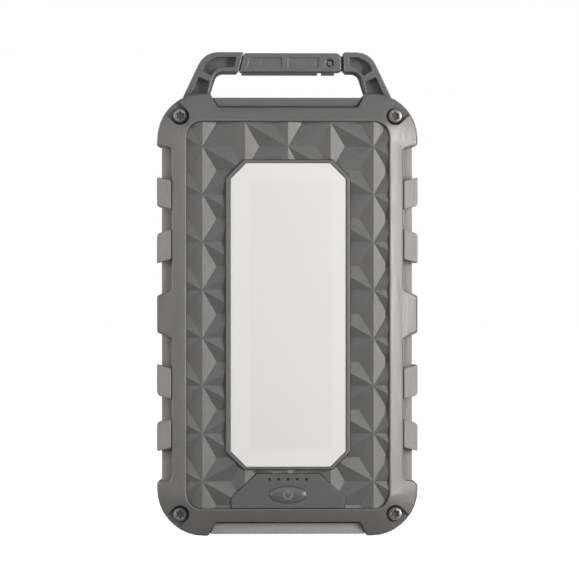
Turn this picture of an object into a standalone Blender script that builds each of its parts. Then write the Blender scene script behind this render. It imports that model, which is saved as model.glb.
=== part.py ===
"""A rugged solar power bank with a lamp, a control pad, a port cover and a gated carry handle.

It stands on its corner bumpers. +X is to the right, -Y is the lamp side, +Z is up along the body, and the origin
is under the middle of the body. The shapes are worked out in millimetres and stored in metres.
"""

import math

import bmesh
import bpy

for stale in list(bpy.data.objects):
    bpy.data.objects.remove(stale, do_unlink=True)

MM = 0.001
GAP = 0.3  # between two plastic pieces
SNUG = 0.12  # between two plastic pieces whose joint shows and never moves
FIT = 0.1  # between a metal piece and its seat
CHORD_ERROR = 0.07  # how far a flat segment may stray from its arc
SMOOTH_ANGLE = math.radians(32)

# Body, seen from the lamp side
BODY_HALF = 43.0
BODY_TOP = 145.9
FRAME_HALF = 38.2
TOP_CORNER_R = 15.0
BOTTOM_CORNER_R = 15.3
TOP_NOTCH = (23.2, 141.3, 25.5)  # half width at its floor, floor height, half width at its mouth
BOTTOM_NOTCH = (23.9, 4.5, 26.1)
BUMPER_END_TOP = 127.7
BUMPER_END_BOTTOM = 18.4
WRAP_LOW, WRAP_HIGH = 67.0, 79.1  # middle block of the bumper frame
SLANT = 2.0  # how far the middle block's ends slope across its width

# Depth, from the lamp side to the middle
RIM_Y = -13.0
RIM_FLAT = 0.6
RIM_SLOPE = math.tan(math.radians(24))
SKIRT_Y = -6.8
SEAM_Y = -0.15
EDGE_ROUND = 0.6
EDGE_CHAMFER = 0.35

# Panel opening of the bumper frame
OPENING_HALF = 33.4
OPENING_LOW, OPENING_HIGH = 9.0, 136.5
OPENING_R = 5.0
FLANGE_GROW = 1.5  # panel flange past the opening
FLANGE_R = 8.0
FLANGE_Y = -10.0
PANEL_BACK_Y = -9.3
PANEL_WALL = 1.3

# Facets of the panel
FACET_STEP_X = 14.1
FACET_STEP_Z = 15.75
FACET_TOP_Z = 128.25
RIDGE_Y = -12.4
PIT_Y = -11.1

# Middle frame
MID_HALF = 37.6
MID_LOW, MID_HIGH = 4.5, 144.5
MID_R = 12.0
MID_INNER_R = 18.5
MID_WALL_SIDE = 3.6
MID_WALL_BOTTOM = 3.0
MID_WALL_TOP = 5.4
TOP_LIP_Y = 9.0  # how far the top wall reaches into the bumpers' top notches
MID_Y = 6.5

# Side grips
STRIP_HALF = 41.4
STRIP_EDGE_R = 2.0
STRIP_LOW, STRIP_HIGH = BUMPER_END_BOTTOM - 1.0, BUMPER_END_TOP + 1.0
GRIP_BLOCKS = ((108.5, 118.3, "low"), (89.9, 100.7, "high"), (46.0, 56.4, "low"), (27.8, 38.0, "high"))
BLOCK_SLANT = 1.3
BLOCK_CORNER_R = 1.4
BLOCK_DROP = 0.25  # how far a block's face lies behind the bumper frame's slope

# Screws and inserts
SCREW_X = 35.45
SCREW_Z = (138.4, 7.2)
SCREW_HEAD_R = 2.44
SCREW_POCKET_R = 3.03
SCREW_FLOOR_Y = -8.4
SCREW_HEAD_H = 1.7
SCREW_SHANK_R = 1.2
SCREW_HOLE_R = 1.5
SCREW_TIP_Y = 5.0
INSERT_R = 2.0
INSERT_Y = (0.5, 6.9)
BOSS_R = 3.3

# Handle
ARM_Y = 5.0
ARM_TOP = 159.7
ARM_CORNER_X = 27.4
ARM_FOOT_X = 34.5
ARM_FOOT_Z = 144.8
ARM_OUTER_R = 7.0
BAR_LOW = 153.2
BAR_HIGH = 159.4
BEAD = 1.0
ARM_BEAD = 0.7
BEAD_Y = 1.5
GATE_Y = 4.9
GATE_TILT = 0.274
GATE_END_X = -14.3  # at the top of the slanted joint with the left arm
GATE_END_HALF_GAP = 0.15
GATE_KEY = 0.8  # how far the left arm's key reaches past the middle of the joint
GATE_KEY_Y = 1.3
PIN_X, PIN_Z = 14.1, 156.1
PIN_R = 1.05
PIN_RECESS_R = 1.6
GATE_DISC_X = (-9.7, 8.2)      # the moulder's round ejector marks on the gate
GATE_DISC_R = 1.15
PIN_HOLE_R = 1.2
GATE_RIGHT = 17.9
ARM_END = 18.7
SLOT_X = 10.2
SLOT_Y = 2.5
TONGUE_R = 3.6
TONGUE_HALF = 2.5
TONGUE_Y = (-0.3, 2.3)
TONGUE_FOOT = (11.4, 15.7)  # carries on the bead under the gate

# Lamp
BEZEL_HALF = 20.5
BEZEL_LOW, BEZEL_HIGH = 21.9, 123.9
BEZEL_LEG = 5.9
BEZEL_Y = -13.2
DIFFUSER_HALF = 19.1
DIFFUSER_LOW, DIFFUSER_HIGH = 22.7, 122.9
DIFFUSER_LEG = 5.2
DIFFUSER_Y = (-13.0, -11.2)
REFLECTOR_Y = (-8.2, -5.0)

# Controls
PAD_LOW, PAD_HIGH = 9.15, 20.6
PAD_HALF_TOP = 10.2
PAD_HALF_WIDE = 18.8
PAD_WIDE_Z = 12.7
PAD_Y = (-12.6, -11.1)
BUTTON_Z = 13.6
BUTTON_HALF_X, BUTTON_HALF_Z = 6.25, 2.75
BUTTON_TRAVEL = 0.6
BUTTON_DOME = 0.7
BUTTON_GAP = 0.07
LED_Z = 18.7
LED_PITCH = 3.05
LED_HOLE_R = 0.42
LED_PIN_R = 0.3

# Ports and their cover
PORT_X = 15.0
PORT_MOUTH_Z = 8.0
BOARD_Y = (-4.6, -3.4)
COVER_LOW, COVER_HIGH = 0.6, 4.2
COVER_HALF = 25.5
COVER_Y = -6.4
COVER_FRONT_Y = -8.9  # of the block that fills the bumper's bottom notch
COVER_R = (COVER_HIGH - COVER_LOW) / 2
COVER_AXIS = (4.6, (COVER_HIGH + COVER_LOW) / 2)

# Battery bay
CELL_LOW, CELL_HIGH = 42.5, 127.5
CELL_Y = (-4.2, 4.8)


# Outlines -----------------------------------------------------------------------------------------

def rounded(corners, segments=None):
    """The closed outline through (a, b) or (a, b, radius) corners, with an arc at each one with a radius."""
    points = []
    for index, corner in enumerate(corners):
        a, b = corner[:2]
        radius = corner[2] if len(corner) > 2 else 0.0
        if radius == 0.0:
            points.append((a, b))
            continue
        before = corners[index - 1]
        after = corners[(index + 1) % len(corners)]
        to_before = math.atan2(before[1] - b, before[0] - a)
        to_after = math.atan2(after[1] - b, after[0] - a)
        opening = (to_after - to_before + math.pi) % (2 * math.pi) - math.pi
        reach = radius / math.tan(abs(opening) / 2)
        middle = to_before + opening / 2
        centre_a = a + math.cos(middle) * math.hypot(reach, radius)
        centre_b = b + math.sin(middle) * math.hypot(reach, radius)
        tangent_a = a + math.cos(to_before) * reach
        tangent_b = b + math.sin(to_before) * reach
        start = math.atan2(tangent_b - centre_b, tangent_a - centre_a)
        turn = math.copysign(math.pi - abs(opening), -opening)
        count = segments or math.ceil(abs(turn) / (2 * math.acos(1 - min(1.0, CHORD_ERROR / radius))))
        for step in range(count + 1):
            angle = start + turn * step / count
            points.append((centre_a + math.cos(angle) * radius, centre_b + math.sin(angle) * radius))
    return points


def mirrored(half):
    """A whole outline from its right half, which runs from top to bottom."""
    return list(half) + [(-a, *rest) for a, *rest in reversed(half)]


def flipped(corners):
    """The same corners on the other side of the middle plane."""
    return [(-a, *rest) for a, *rest in reversed(corners)]


def rectangle(half, low, high, radius=0.0, segments=None, middle=0.0):
    corners = [(middle + half, high), (middle + half, low), (middle - half, low), (middle - half, high)]
    return rounded([(*corner, radius) for corner in corners], segments)


def octagon(half, low, high, leg, radius=0.6):
    corners = [(half - leg, high), (half, high - leg), (half, low + leg), (half - leg, low)]
    return rounded([(*corner, radius) for corner in mirrored(corners)], 2)


def circle(a, b, radius, count=24):
    turns = (2 * math.pi * step / count for step in range(count))
    return [(a + radius * math.sin(turn), b + radius * math.cos(turn)) for turn in turns]


def oval(half_a, b, half_b, count=32):
    turns = (2 * math.pi * step / count for step in range(count))
    return [(half_a * math.sin(turn), b + half_b * math.cos(turn)) for turn in turns]


def notch_half(notch, mouth, z):
    """Half the width, at height z, of a piece that fits snugly in a bumper notch with its mouth at a height."""
    floor_half, floor, mouth_half = notch
    return floor_half + (mouth_half - floor_half) * (z - floor) / (mouth - floor) - SNUG


def bumper_outline():
    """The bumper frame's outline: corner bumpers, a wrap block midway up each side, and a notch at each end."""
    half = [
        (TOP_NOTCH[0], TOP_NOTCH[1], 1.3),
        (TOP_NOTCH[2], BODY_TOP, 0.8),
        (BODY_HALF, BODY_TOP, TOP_CORNER_R),
        (BODY_HALF, BUMPER_END_TOP + 1.4, 0.8),
        (BODY_HALF - 1.1, BUMPER_END_TOP + 0.7, 0.8),
        (FRAME_HALF, BUMPER_END_TOP, 1.3),
        (FRAME_HALF, WRAP_HIGH + SLANT, 1.0),
        (BODY_HALF, WRAP_HIGH, 0.9),
        (BODY_HALF, WRAP_LOW, 0.9),
        (FRAME_HALF, WRAP_LOW - SLANT, 1.0),
        (FRAME_HALF, BUMPER_END_BOTTOM, 1.3),
        (BODY_HALF - 1.1, BUMPER_END_BOTTOM - 0.4, 0.8),
        (BODY_HALF, BUMPER_END_BOTTOM - 1.5, 0.8),
        (BODY_HALF, 0.0, BOTTOM_CORNER_R),
        (BOTTOM_NOTCH[2], 0.0, 0.8),
        (BOTTOM_NOTCH[0], BOTTOM_NOTCH[1], 1.3),
    ]
    return rounded(mirrored(half))


# Solids -------------------------------------------------------------------------------------------

def as_object(shape, name="shape"):
    bmesh.ops.recalc_face_normals(shape, faces=shape.faces)
    mesh = bpy.data.meshes.new(name)
    shape.to_mesh(mesh)
    shape.free()
    piece = bpy.data.objects.new(name, mesh)
    bpy.context.scene.collection.objects.link(piece)
    return piece


def loft(rings, closed=False):
    """A solid through rings of (x, y, z) points, with its end rings capped, or joined if it's closed."""
    shape = bmesh.new()
    made = [[shape.verts.new(point) for point in ring] for ring in rings]
    pairs = list(zip(made, made[1:]))
    if closed:
        pairs.append((made[-1], made[0]))
    else:
        shape.faces.new(made[0])
        shape.faces.new(list(reversed(made[-1])))
    for first, second in pairs:
        for index in range(len(first)):
            after = (index + 1) % len(first)
            shape.faces.new((first[index], second[index], second[after], first[after]))
    return as_object(shape)


def along_y(outline, y):
    return [(a, y, b) for a, b in outline]


def prism(outline, low, high):
    """An outline in X and Z, run through Y."""
    return loft([along_y(outline, low), along_y(outline, high)])


def prism_x(outline, low, high):
    """An outline in Y and Z, run through X."""
    return loft([[(x, a, b) for a, b in outline] for x in (low, high)])


def prism_z(outline, low, high):
    """An outline in X and Y, run through Z."""
    return loft([[(a, b, z) for a, b in outline] for z in (low, high)])


def box(x, y, z):
    return prism([(x[0], z[0]), (x[1], z[0]), (x[1], z[1]), (x[0], z[1])], *y)


def chamfered(outline_at, front, back, chamfer):
    """A plate with its front edge chamfered. outline_at gives the outline for an inset."""
    rings = ((chamfer, front), (0.0, front + chamfer), (0.0, back))
    return loft([along_y(outline_at(inset), y) for inset, y in rings])


def rod(x, z, radius, y, count=24):
    return prism(circle(x, z, radius, count), *y)


def tube(path, radius, sides=8):
    """A round cord along a path of (x, y, z) points."""
    rings = []
    side = None
    for index, point in enumerate(path):
        before = path[max(index - 1, 0)]
        after = path[min(index + 1, len(path) - 1)]
        run = [q - p for p, q in zip(before, after)]
        length = math.sqrt(sum(value * value for value in run))
        run = [value / length for value in run]
        side = side or ([1.0, 0.0, 0.0] if abs(run[0]) < 0.7 else [0.0, 1.0, 0.0])
        lean = sum(p * q for p, q in zip(side, run))
        side = [p - lean * q for p, q in zip(side, run)]
        length = math.sqrt(sum(value * value for value in side))
        side = [value / length for value in side]
        other = [
            run[1] * side[2] - run[2] * side[1],
            run[2] * side[0] - run[0] * side[2],
            run[0] * side[1] - run[1] * side[0],
        ]
        turns = [2 * math.pi * step / sides for step in range(sides)]
        rings.append([
            tuple(c + radius * (math.cos(t) * p + math.sin(t) * q) for c, p, q in zip(point, side, other))
            for t in turns
        ])
    return loft(rings)


def bend(start, middle, end, count=8):
    """A smooth path from start to end that leaves towards middle."""
    steps = [step / count for step in range(count + 1)]
    return [
        tuple((1 - t) ** 2 * p + 2 * t * (1 - t) * q + t * t * r for p, q, r in zip(start, middle, end))
        for t in steps
    ]


def evaluated(piece):
    bpy.context.view_layer.update()
    graph = bpy.context.evaluated_depsgraph_get()
    mesh = bpy.data.meshes.new_from_object(piece.evaluated_get(graph))
    piece.modifiers.clear()
    old = piece.data
    piece.data = mesh
    bpy.data.meshes.remove(old)
    return piece


def combined(piece, tools, operation):
    for tool in tools:
        modifier = piece.modifiers.new("combine", "BOOLEAN")
        modifier.operation = operation
        modifier.solver = "EXACT"
        modifier.object = tool
        evaluated(piece)
        bpy.data.objects.remove(tool, do_unlink=True)
    return piece


def cut(piece, *tools):
    return combined(piece, tools, "DIFFERENCE")


def join(piece, *tools):
    return combined(piece, tools, "UNION")


def common(piece, *tools):
    return combined(piece, tools, "INTERSECT")


def bevelled(piece, width, segments=2, angle=50):
    modifier = piece.modifiers.new("edges", "BEVEL")
    modifier.width = width
    modifier.segments = segments
    modifier.limit_method = "ANGLE"
    modifier.angle_limit = math.radians(angle)
    modifier.use_clamp_overlap = False
    return evaluated(piece)


def turned_round(piece):
    """The same piece on the other face of the body: -Y becomes +Y."""
    for vertex in piece.data.vertices:
        vertex.co.y = -vertex.co.y
    piece.data.flip_normals()
    return piece


# Materials and naming -----------------------------------------------------------------------------

def paint(name, colour, roughness, metallic=0.0, alpha=1.0):
    material = bpy.data.materials.new(name)
    material.use_nodes = True
    shader = material.node_tree.nodes["Principled BSDF"]
    shader.inputs["Base Color"].default_value = (*colour, 1.0)
    shader.inputs["Roughness"].default_value = roughness
    shader.inputs["Metallic"].default_value = metallic
    shader.inputs["Alpha"].default_value = alpha
    material.diffuse_color = (*colour, alpha)
    return material


def named(piece, name, material, origin=None):
    """Names a finished shape, stores it in metres, and gives it an origin, at its middle unless stated."""
    points = [vertex.co.copy() for vertex in piece.data.vertices]
    if origin is None:
        origin = [(min(p[i] for p in points) + max(p[i] for p in points)) / 2 for i in range(3)]
    for vertex, point in zip(piece.data.vertices, points):
        vertex.co = [(point[i] - origin[i]) * MM for i in range(3)]
    piece.location = [value * MM for value in origin]
    piece.name = name
    piece.data.name = name
    piece.data.materials.clear()
    piece.data.materials.append(material)
    piece.data.shade_smooth()
    piece.data.set_sharp_from_angle(angle=SMOOTH_ANGLE)
    return piece


def repeated(piece, name, shifts):
    """Copies of a named piece, moved by millimetres from where the first stands, named with a number each."""
    first = piece.location.copy()
    piece.name = f"{name}_1"
    for index, shift in enumerate(shifts, start=2):
        copy = piece.copy()
        copy.name = f"{name}_{index}"
        copy.location = [first[i] + shift[i] * MM for i in range(3)]
        bpy.context.scene.collection.objects.link(copy)


# Bumper frames ------------------------------------------------------------------------------------

def opening_ring(spread, y):
    radius = OPENING_R + spread
    return along_y(rectangle(OPENING_HALF + spread, OPENING_LOW - spread, OPENING_HIGH + spread, radius, 6), y)


def arm_corners(inner_shift, end_at, top):
    """Corners of a right-hand handle arm from its foot. inner_shift moves the loop side into the loop."""
    low = BAR_LOW - inner_shift
    return [
        (27.3 - inner_shift, 139.6),
        (26.4 - inner_shift, ARM_FOOT_Z),
        (23.94 - inner_shift, low, 3.2 - inner_shift),
        (end_at(low), low, 0.3),
        (end_at(top), top, 0.3),
        (ARM_CORNER_X, top, ARM_OUTER_R),
        (ARM_FOOT_X, ARM_FOOT_Z, 0.6),
        (32.3, 141.6),
        (32.3, 139.6),
    ]


def arm_clearance(side):
    corners = [(23.6, 150.0), (25.4, 142.0), (32.7, 142.0), (35.1, 144.7), (35.1, 150.0)]
    corners = corners if side > 0 else flipped(corners)
    return prism(corners, -ARM_Y - GAP, 1.0)


def screw_places():
    return [(side, end, z) for z, end in zip(SCREW_Z, (1, -1)) for side in (-1, 1)]


def screw_rods(radius, y, count=24):
    return [rod(side * SCREW_X, z, radius, y, count) for side, _, z in screw_places()]


def frame_shell(edge_segments):
    """The bumper frame's front half, without its screw holes."""
    spread = 16.0
    shell = loft([
        opening_ring(-2.0, RIM_Y),
        opening_ring(RIM_FLAT, RIM_Y),
        opening_ring(spread, RIM_Y + (spread - RIM_FLAT) * RIM_SLOPE),
        opening_ring(spread, SEAM_Y),
    ])
    common(shell, prism(bumper_outline(), RIM_Y - 1.0, 1.0))
    bevelled(shell, EDGE_ROUND, edge_segments)
    mouth = loft([opening_ring(EDGE_CHAMFER + 0.5, RIM_Y - 0.5), opening_ring(0.0, RIM_Y + EDGE_CHAMFER),
                  opening_ring(0.0, 1.0)])
    flange = FLANGE_GROW + GAP
    flange_seat = rectangle(OPENING_HALF + flange, OPENING_LOW - flange, OPENING_HIGH + flange, FLANGE_R + GAP)
    mid_seat = prism(rectangle(MID_HALF + GAP, MID_LOW - GAP, MID_HIGH + GAP, MID_R + GAP), SKIRT_Y, 1.0)
    cut(mid_seat, *screw_rods(BOSS_R, (SKIRT_Y - 1.0, 2.0), 20))
    cut(shell, mouth, prism(flange_seat, FLANGE_Y - GAP, 1.0), mid_seat)
    for side in (-1, 1):
        strip = sorted((side * (MID_HALF - 1.0), side * (STRIP_HALF + GAP)))
        cut(shell, box(strip, (SKIRT_Y, 1.0), (STRIP_LOW - GAP, STRIP_HIGH + GAP)))
        cut(shell, arm_clearance(side))
    cover_half = COVER_HALF + 0.6
    cut(shell, box((-cover_half, cover_half), (SKIRT_Y, 1.0), (-1.0, MID_LOW + 1.0)))
    return shell


def screw_channel(side, end, z):
    """A round pocket that runs out of the bumper's corner along the diagonal."""
    start = math.atan2(end, side)
    points = []
    for step in range(11):
        angle = start + math.pi / 2 + math.pi * step / 10
        across = SCREW_POCKET_R * math.cos(angle)
        up = SCREW_POCKET_R * math.sin(angle)
        points.append((side * SCREW_X + across, z + up))
    reach = 14.0
    for a, b in (points[-1], points[0]):
        points.append((a + reach * math.cos(start), b + reach * math.sin(start)))
    return prism(points, RIM_Y - 1.0, SCREW_FLOOR_Y)


def make_frames(material):
    front = frame_shell(edge_segments=2)
    rear = turned_round(frame_shell(edge_segments=1))
    cut(front, *[screw_channel(*place) for place in screw_places()])
    cut(front, *screw_rods(SCREW_HOLE_R, (SCREW_FLOOR_Y - 1.0, 1.0), 18))
    cut(rear, *screw_rods(INSERT_R + FIT, (-1.0, INSERT_Y[1] + GAP), 20))
    half = COVER_HALF + 0.6
    cut(rear, box((-half, half), (-SKIRT_Y - 1.0, 1.0 - SKIRT_Y), (-1.0, 3.0)))  # for the open port cover
    named(front, "front_frame", material)
    named(rear, "rear_frame", material)


def make_screws(steel, brass):
    x, z = -SCREW_X, SCREW_Z[0]
    under = SCREW_FLOOR_Y - FIT
    rings = [
        (SCREW_SHANK_R, SCREW_TIP_Y),
        (SCREW_SHANK_R, under),
        (SCREW_HEAD_R, under),
        (SCREW_HEAD_R, under - 1.0),
        (SCREW_HEAD_R - 0.22, under - 1.42),
        (SCREW_HEAD_R - 0.75, under - SCREW_HEAD_H),
    ]
    screw = loft([along_y(circle(x, z, radius, 20), y) for radius, y in rings])
    lobes = []
    lobe_points = 24
    for step in range(lobe_points):
        angle = 2 * math.pi * step / lobe_points
        radius = 1.3 + 0.32 * math.cos(6 * angle)
        lobes.append((x + radius * math.sin(angle), z + radius * math.cos(angle)))
    cut(screw, prism(lobes, under - 3.0, under - 0.6))
    named(screw, "screw", steel)
    sleeve = [(INSERT_R, INSERT_Y[0]), (INSERT_R, INSERT_Y[1]), (1.35, INSERT_Y[1]), (1.35, INSERT_Y[0])]
    insert = loft([along_y(circle(x, z, radius, 20), y) for radius, y in sleeve], closed=True)
    named(insert, "threaded_insert", brass)
    shifts = [(side * SCREW_X - x, 0.0, end_z - z) for side, _, end_z in screw_places()[1:]]
    repeated(screw, "screw", shifts)
    repeated(insert, "threaded_insert", shifts)


# Middle frame and handle --------------------------------------------------------------------------

def gate_end(z, shift):
    """The slanted joint between the gate and the left arm, as an X for a height."""
    return GATE_END_X - (BAR_HIGH - z) * GATE_TILT + shift


def gate_key(grow, half_y, low, high):
    """The key that stands across the slanted joint, from inside the arm to inside the gate."""
    outline = [(gate_end(low, -2.0), low), (gate_end(high, -2.0), high), (gate_end(high, GATE_KEY + grow), high),
               (gate_end(low, GATE_KEY + grow), low)]
    return prism(outline, -half_y, half_y)


def arm(side):
    """One handle arm with the thin bead round the inside of the loop."""
    def end_at(z):
        return ARM_END if side > 0 else -gate_end(z, -GATE_END_HALF_GAP)

    def bead_end_at(z):
        return end_at(z) + 0.3

    thick = arm_corners(0.0, end_at, ARM_TOP)
    thin = arm_corners(ARM_BEAD, bead_end_at, ARM_TOP - 1.0)
    if side < 0:
        thick, thin = flipped(thick), flipped(thin)
    solid = bevelled(prism(rounded(thick), -ARM_Y, ARM_Y), 0.25, 1)
    join(solid, prism(rounded(thin), -BEAD_Y, BEAD_Y))
    if side < 0:
        join(solid, gate_key(0.0, GATE_KEY_Y, BAR_LOW + 0.6, BAR_HIGH - 0.6))
    return solid


def arm_pockets(side):
    """Weight-saving pockets from both faces of an arm, with a rib between the two."""
    inner = 20.4 if side > 0 else 16.7
    upper = [
        (inner, 158.1, 0.3), (23.8, 158.1, 4.0), (27.2, 156.0, 1.0), (28.2, 153.6, 0.4), (25.3, 151.9, 0.5),
        (22.6, 154.6, 1.5), (inner + 0.7, 154.7, 0.3),
    ]
    lower = [(25.7, 150.0, 0.4), (29.4, 151.5, 0.4), (32.7, 144.0), (26.8, 144.0)]
    tools = []
    for corners in (upper, lower):
        corners = corners if side > 0 else flipped(corners)
        for face in (-1, 1):
            tools.append(prism(rounded(corners), *sorted((face * (ARM_Y + 1.0), face * 1.8))))
    return tools


def seal_ring(grow, y):
    """A ring that runs round the middle frame's wall, with its section grown by grow."""
    rings = []
    for spread in (1.9 + grow, 0.9 - grow):
        half = MID_HALF - MID_WALL_SIDE + spread
        low, high = MID_LOW + MID_WALL_BOTTOM - spread, MID_HIGH - MID_WALL_TOP + spread
        rings.append(rectangle(half, low, high, MID_INNER_R + spread, 8))
    order = ((rings[0], y[0]), (rings[0], y[1]), (rings[1], y[1]), (rings[1], y[0]))
    return loft([along_y(shape, place) for shape, place in order], closed=True)


def port_windows():
    tools = [box((side * PORT_X - 6.9, side * PORT_X + 6.9), (-3.9, 3.5), (MID_LOW - 1, 9.0)) for side in (-1, 1)]
    tools.append(box((-5.0, 5.0), (-3.7, 0.3), (MID_LOW - 1, 9.0)))
    return tools


def make_mid_frame(material):
    frame = prism(rectangle(MID_HALF, MID_LOW, MID_HIGH, MID_R), -MID_Y, MID_Y)
    inner = rectangle(MID_HALF - MID_WALL_SIDE, MID_LOW + MID_WALL_BOTTOM, MID_HIGH - MID_WALL_TOP, MID_INNER_R)
    cut(frame, prism(inner, -MID_Y - 1.0, MID_Y + 1.0))
    lip = [(notch_half(TOP_NOTCH, BODY_TOP, MID_HIGH), MID_HIGH),
           (notch_half(TOP_NOTCH, BODY_TOP, TOP_NOTCH[1] + SNUG), TOP_NOTCH[1] + SNUG, 1.3)]
    join(frame, bevelled(prism(rounded(mirrored(lip), 4), -TOP_LIP_Y, TOP_LIP_Y), 0.4, 2))
    for side in (-1, 1):
        join(frame, arm(side))
        cut(frame, *arm_pockets(side))
        shelf = sorted((side * 9.0, side * (MID_HALF - 1.5)))
        join(frame, box(shelf, CELL_Y, (CELL_LOW - 3.0, CELL_LOW - 1.6)))
    tongue = [(ARM_END + 1.2, PIN_Z - TONGUE_HALF), (ARM_END + 1.2, PIN_Z + TONGUE_HALF)]
    lean = math.asin(TONGUE_HALF / TONGUE_R)
    steps = 14
    for step in range(steps + 1):
        angle = lean + 2 * (math.pi - lean) * step / steps
        height = min(PIN_Z + TONGUE_R * math.sin(angle), BAR_HIGH - GAP)
        tongue.append((PIN_X + TONGUE_R * math.cos(angle), height))
    join(frame, prism(tongue, *TONGUE_Y))
    join(frame, box(TONGUE_FOOT, (-BEAD_Y, BEAD_Y), (BAR_LOW - BEAD, BAR_LOW + 0.6)))
    cut(frame, *screw_rods(BOSS_R + GAP, (-MID_Y - 1.0, MID_Y + 1.0), 20))
    cut(frame, rod(PIN_X, PIN_Z, PIN_HOLE_R, (TONGUE_Y[0] - 1.0, TONGUE_Y[1] + 1.0)))
    cut(frame, *port_windows())
    cut(frame, seal_ring(0.15, (-MID_Y - 1.0, -MID_Y + 1.0)), seal_ring(0.15, (MID_Y - 1.0, MID_Y + 1.0)))
    named(frame, "mid_frame", material)


def make_gate(plastic, steel, spring_steel):
    left_high = gate_end(BAR_HIGH, GATE_END_HALF_GAP)
    left_low = gate_end(BAR_LOW, GATE_END_HALF_GAP)
    outline = [(left_high, BAR_HIGH, 0.3), (GATE_RIGHT, BAR_HIGH, 1.8), (GATE_RIGHT, BAR_LOW, 0.7),
               (left_low, BAR_LOW, 0.3)]
    gate = bevelled(prism(rounded(outline), -GATE_Y, GATE_Y), 0.25, 1)
    bead_top = BAR_LOW + 0.5
    bead_left = gate_end(bead_top, GATE_END_HALF_GAP)
    join(gate, box((bead_left, SLOT_X - 0.1), (-BEAD_Y, BEAD_Y), (BAR_LOW - BEAD, bead_top)))
    cut(gate, box((SLOT_X, GATE_RIGHT + 2.0), (-SLOT_Y, SLOT_Y), (BAR_LOW - 3.0, BAR_HIGH + 2.0)))
    for face in (-1, 1):
        depth = sorted((face * (GATE_Y + 1.0), face * (GATE_Y - 0.5)))
        long_pocket = [(-12.3, 158.0, 0.3), (-1.6, 158.0, 0.3), (-1.6, 154.6, 0.3), (-13.2, 154.6, 0.3)]
        short_pocket = [(0.3, 158.0, 0.3), (10.6, 158.0, 0.5), (10.6, 154.6, 0.5), (0.3, 154.6, 0.3)]
        cut(gate, prism(rounded(long_pocket), *depth), prism(rounded(short_pocket), *depth))
        cut(gate, rod(PIN_X, PIN_Z, PIN_RECESS_R, sorted((face * (GATE_Y + 1.0), face * (GATE_Y - 0.8)))))
        for x in GATE_DISC_X:
            join(gate, rod(x, PIN_Z + 0.2, GATE_DISC_R, sorted((face * (GATE_Y - 1.0), face * (GATE_Y - 0.38))), 16))
    cut(gate, rod(PIN_X, PIN_Z, PIN_HOLE_R, (-GATE_Y - 1.0, GATE_Y + 1.0)))
    cut(gate, gate_key(GAP, GATE_KEY_Y + GAP + 0.1, BAR_LOW - 3.0, BAR_HIGH + 2.0))
    named(gate, "handle_gate", plastic, origin=(PIN_X, 0.0, PIN_Z))
    pin_end = GATE_Y - 0.6
    pin_rings = ((0.75, -pin_end), (PIN_R, 0.3 - pin_end), (PIN_R, pin_end - 0.3), (0.75, pin_end))
    pin = loft([along_y(circle(PIN_X, PIN_Z, radius), y) for radius, y in pin_rings])
    named(pin, "gate_pin", steel)
    coil_r = 1.75
    path = [(ARM_END - 0.35, -0.75, PIN_Z - coil_r)]
    turns, steps, pitch = 2.5, 30, 0.5
    for step in range(steps + 1):
        angle = -math.pi / 2 - 2 * math.pi * turns * step / steps
        x = PIN_X + coil_r * math.cos(angle)
        path.append((x, -0.75 - pitch * turns * step / steps, PIN_Z + coil_r * math.sin(angle)))
    path.append((SLOT_X + 0.6, path[-1][1], PIN_Z + coil_r))
    named(tube(path, 0.2, 6), "gate_spring", spring_steel)


# Side grips ---------------------------------------------------------------------------------------

def slope_y(x):
    """How far forward a side block reaches at a distance from the middle."""
    return RIM_Y + (x - OPENING_HALF - RIM_FLAT) * RIM_SLOPE + BLOCK_DROP


def make_side_grips(material):
    strip_y = MID_Y - 0.2
    for side, name in ((-1, "side_grip_left"), (1, "side_grip_right")):
        inner, outer = side * (MID_HALF + GAP), side * STRIP_HALF
        front_edge = [(inner, -strip_y), (outer, -strip_y, STRIP_EDGE_R)]
        back_edge = [(outer, strip_y, STRIP_EDGE_R), (inner, strip_y)]
        section = front_edge + back_edge
        grip = prism_z(rounded(section), STRIP_LOW, STRIP_HIGH)
        inner = FRAME_HALF + SNUG
        near, far = slope_y(inner), slope_y(BODY_HALF + 1.0)
        wedge = [(side * inner, near), (side * (BODY_HALF + 1.0), far), (side * (BODY_HALF + 1.0), -far),
                 (side * inner, -near)]
        for low, high, rounded_end in GRIP_BLOCKS:
            if rounded_end == "low":
                corners = [(inner, high - BLOCK_SLANT), (BODY_HALF, high), (BODY_HALF, low + 0.3, BLOCK_CORNER_R),
                           (inner, low - 0.9)]
            else:
                corners = [(inner, high + 0.3), (BODY_HALF, high - 1.0, BLOCK_CORNER_R), (BODY_HALF, low),
                           (inner, low + BLOCK_SLANT)]
            corners = corners if side > 0 else flipped(corners)
            block = common(prism(rounded(corners), RIM_Y, -RIM_Y), prism_z(wedge, low - 3.0, high + 3.0))
            join(grip, bevelled(block, 0.3, 1))
        named(grip, name, material)


# Panels -------------------------------------------------------------------------------------------

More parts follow.
